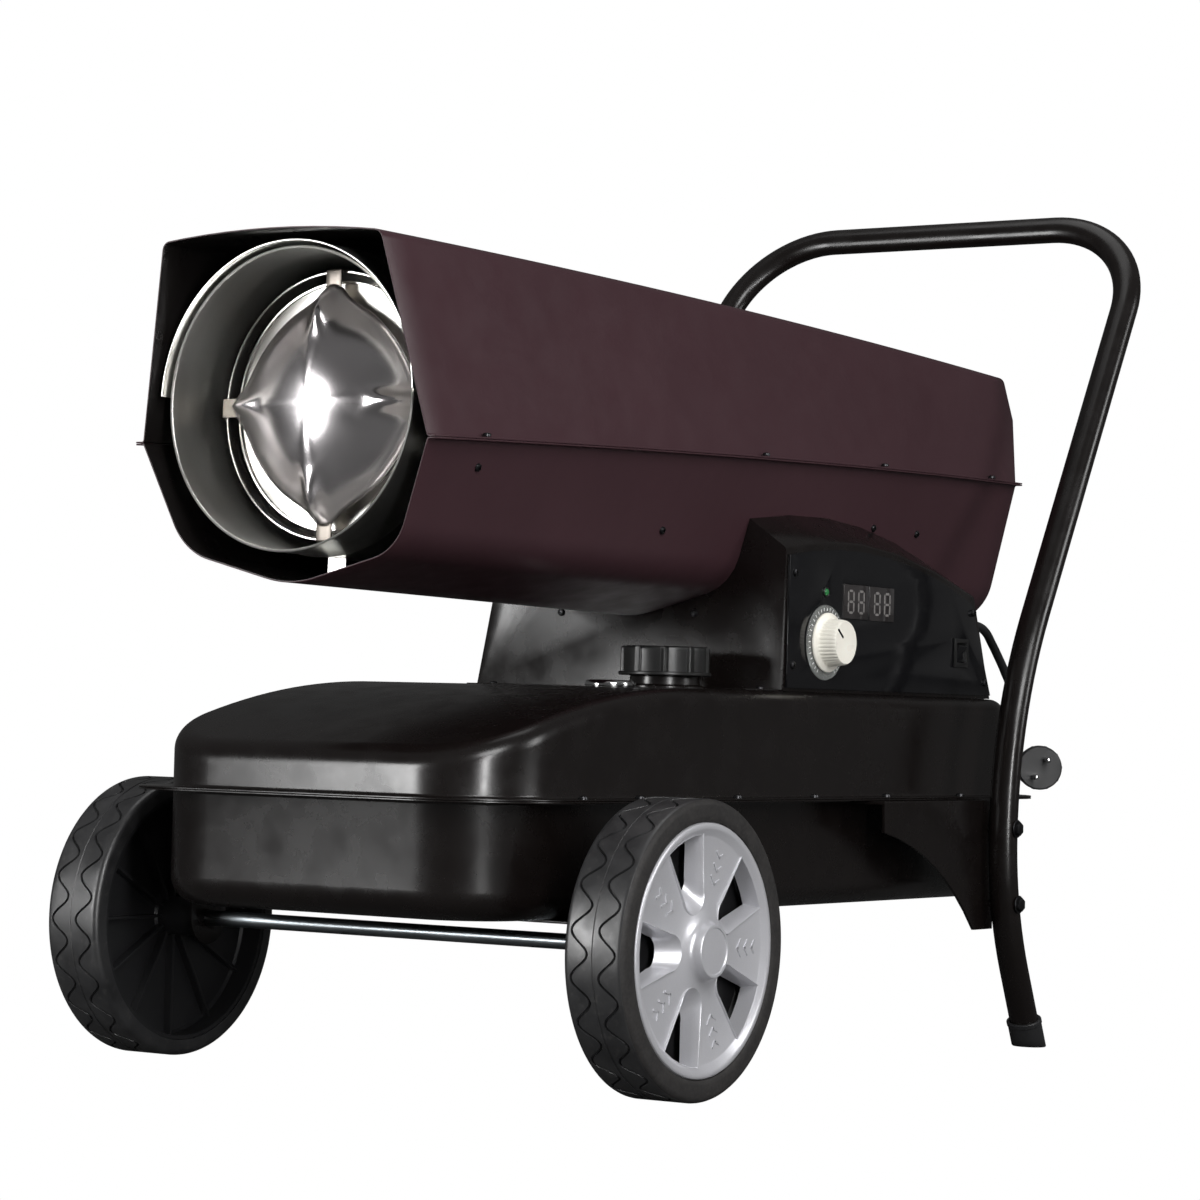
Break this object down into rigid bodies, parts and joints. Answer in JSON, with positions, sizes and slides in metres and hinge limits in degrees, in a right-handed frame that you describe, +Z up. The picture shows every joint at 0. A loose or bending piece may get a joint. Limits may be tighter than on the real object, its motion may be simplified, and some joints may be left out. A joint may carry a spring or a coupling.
{
  "type": "forced air heater",
  "caption": "Portable forced air heater: a long sheet-steel barrel on a control housing and fuel tank, with two wheels and a bent-tube handle that forms the rear legs.",
  "frame": {"origin": "on the floor under the middle of the heater, cord left out", "axes": "+X from the hot-air outlet to the rear and the handle, +Z up; the control panel looks along -Y"},
  "size_m": [1.0334, 0.551, 0.7553],
  "materials": {
    "shell_paint": "dark purple-brown satin powder coat",
    "black_paint": "satin black powder coat",
    "gloss_panel": "gloss black control panel",
    "bright_steel": "plain steel, slightly heat tinted",
    "polished_steel": "bright stainless steel",
    "zinc": "zinc plated steel",
    "brass": "turned brass",
    "aluminium": "die-cast aluminium",
    "black_plastic": "moulded black plastic",
    "silver_plastic": "silver-grey painted plastic",
    "ivory": "ivory moulded plastic",
    "clear": "clear moulded plastic",
    "dark_lens": "smoked display window",
    "green_lens": "green indicator lens",
    "board": "circuit board",
    "tyre": "black rubber tyre",
    "rubber": "black rubber"
  },
  "bodies": {
    "heater": {"upper_shell": "shell_paint", "lower_shell": "shell_paint", "outlet_casing": "bright_steel", "heat_shield": "bright_steel", "combustion_chamber": "bright_steel", "chamber_support": "zinc", "flame_diffuser": "polished_steel", "burner_head": "zinc", "fuel_nozzle": "brass", "igniter": "ivory", "fan_motor": "black_paint", "air_pump": "zinc", "motor_bracket": "zinc", "rear_guard": "black_paint", "tank_upper": "black_paint", "tank_lower": "black_paint", "filler_neck": "black_paint", "gauge_housing": "polished_steel", "saddle_housing": "black_paint", "control_panel": "gloss_panel", "thermostat_dial": "clear", "indicator_lens": "green_lens", "display_module": "dark_lens", "switch_frame": "black_plastic", "control_board": "board", "ignition_transformer": "black_plastic", "fuel_hose": "rubber", "air_hose": "rubber", "axle": "zinc", "axle_nut_left": "zinc", "axle_bracket_left": "black_paint", "axle_nut_right": "zinc", "axle_bracket_right": "black_paint", "handle_frame": "black_paint", "foot_cap_left": "black_plastic", "gusset_left": "black_paint", "upper_bolt_left": "zinc", "lower_bolt_left": "zinc", "foot_cap_right": "black_plastic", "gusset_right": "black_paint", "upper_bolt_right": "zinc", "lower_bolt_right": "zinc", "cord_gland": "black_plastic", "cord_lead": "rubber", "cord_hank": "rubber", "cord_tail": "rubber", "plug": "rubber"},
    "wheel_left": {"tyre_left": "tyre", "wheel_rim_left": "black_plastic", "hub_cap_left": "silver_plastic"},
    "wheel_right": {"tyre_right": "tyre", "wheel_rim_right": "black_plastic", "hub_cap_right": "silver_plastic"},
    "fan": {"fan": "aluminium"},
    "cap_lift": {"cap_gasket": "rubber"},
    "cap_turn": {"fuel_cap": "black_plastic"},
    "knob": {"thermostat_knob": "ivory"},
    "rocker": {"power_rocker": "gloss_panel"},
    "float_arm": {"gauge_float": "black_plastic"},
    "needle": {"gauge_needle": "black_plastic"}
  },
  "joints": [
    {"name": "wheel_left_spin", "type": "hinge", "parent": "heater", "child": "wheel_left", "pos_m": [-0.32471, -0.242, 0.11], "axis": [0, 1, 0], "continuous": true},
    {"name": "wheel_right_spin", "type": "hinge", "parent": "heater", "child": "wheel_right", "pos_m": [-0.32471, 0.242, 0.11], "axis": [0, 1, 0], "continuous": true},
    {"name": "fan_spin", "type": "hinge", "parent": "heater", "child": "fan", "pos_m": [0.15115, 0, 0.4896], "axis": [0.9998, 0, -0.0209], "continuous": true},
    {"name": "cap_lift", "type": "slide", "parent": "heater", "child": "cap_lift", "axis": [0, 0, 1], "range_m": [0, 0.006]},
    {"name": "cap_turn", "type": "hinge", "parent": "cap_lift", "child": "cap_turn", "pos_m": [-0.08671, -0.075, 0.32], "axis": [0, 0, 1], "range_deg": [0, 540]},
    {"name": "thermostat_turn", "type": "hinge", "parent": "heater", "child": "knob", "pos_m": [0.03129, -0.16, 0.3425], "axis": [0, -1, 0], "range_deg": [-270, 0]},
    {"name": "power_switch", "type": "hinge", "parent": "heater", "child": "rocker", "pos_m": [0.26829, -0.1503, 0.3405], "axis": [1, 0, 0], "range_deg": [-18.3, 0]},
    {"name": "float_swing", "type": "hinge", "parent": "heater", "child": "float_arm", "pos_m": [-0.16671, -0.075, 0.267], "axis": [0, 1, 0], "range_deg": [0, 72]},
    {"name": "needle_turn", "type": "hinge", "parent": "heater", "child": "needle", "pos_m": [-0.16671, -0.075, 0.3035], "axis": [0, 0, 1], "range_deg": [-60, 60]}
  ],
  "couplings": [
    {"joint": "cap_lift", "follows": "cap_turn", "m_per_rad": 0.00063662},
    {"joint": "needle_turn", "follows": "float_swing", "ratio": -0.8}
  ]
}
